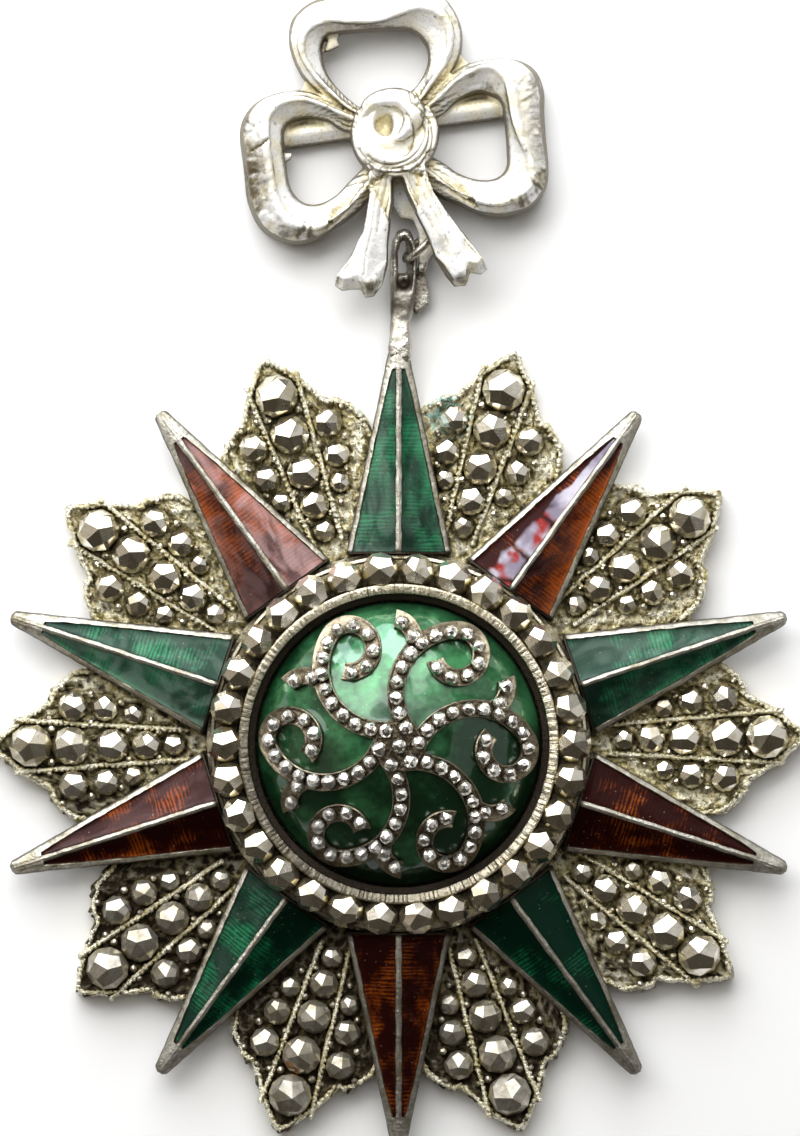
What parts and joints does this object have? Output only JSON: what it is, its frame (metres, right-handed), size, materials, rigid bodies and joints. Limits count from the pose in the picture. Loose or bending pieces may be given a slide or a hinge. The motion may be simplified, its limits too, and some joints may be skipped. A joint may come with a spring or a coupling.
{
  "type": "order commander badge",
  "caption": "Neck badge: a pointed star with enamelled rays over a studded silver plate, a domed enamel medallion, and a ribbon bow above.",
  "frame": {"origin": "centre of the star's flat back, on the surface that the badge lies on", "axes": "+Z out of the badge's front, +Y from the star's centre towards the bow, +X to the right seen from the front"},
  "size_m": [0.0624, 0.0887, 0.0108],
  "materials": {
    "oxidised_silver": "cast silver, oxidised in the recesses, with a yellowish patina",
    "frame_silver": "silver worn bright on the edges and grey-brown in the corners",
    "bright_silver": "polished silver with warm tarnish in the hollows",
    "green_enamel": "translucent emerald enamel over engine-turned silver, glossy",
    "red_enamel": "translucent brown-red enamel over engine-turned silver, glossy"
  },
  "bodies": {
    "root": {"star_plate": "oxidised_silver", "ray_star": "frame_silver", "ray_enamel_01_left": "green_enamel", "ray_enamel_01_right": "green_enamel", "ray_enamel_02_left": "red_enamel", "ray_enamel_02_right": "red_enamel", "ray_enamel_03_left": "green_enamel", "ray_enamel_03_right": "green_enamel", "ray_enamel_04_left": "red_enamel", "ray_enamel_04_right": "red_enamel", "ray_enamel_05_left": "green_enamel", "ray_enamel_05_right": "green_enamel", "ray_enamel_06_left": "red_enamel", "ray_enamel_06_right": "red_enamel", "ray_enamel_07_left": "green_enamel", "ray_enamel_07_right": "green_enamel", "ray_enamel_08_left": "red_enamel", "ray_enamel_08_right": "red_enamel", "ray_enamel_09_left": "green_enamel", "ray_enamel_09_right": "green_enamel", "ray_enamel_10_left": "red_enamel", "ray_enamel_10_right": "red_enamel", "boss_ring": "frame_silver", "medallion": "frame_silver", "medallion_enamel": "green_enamel", "medallion_ornament": "bright_silver", "centre_post": "frame_silver", "bow": "bright_silver", "jump_ring": "bright_silver"}
  },
  "joints": []
}
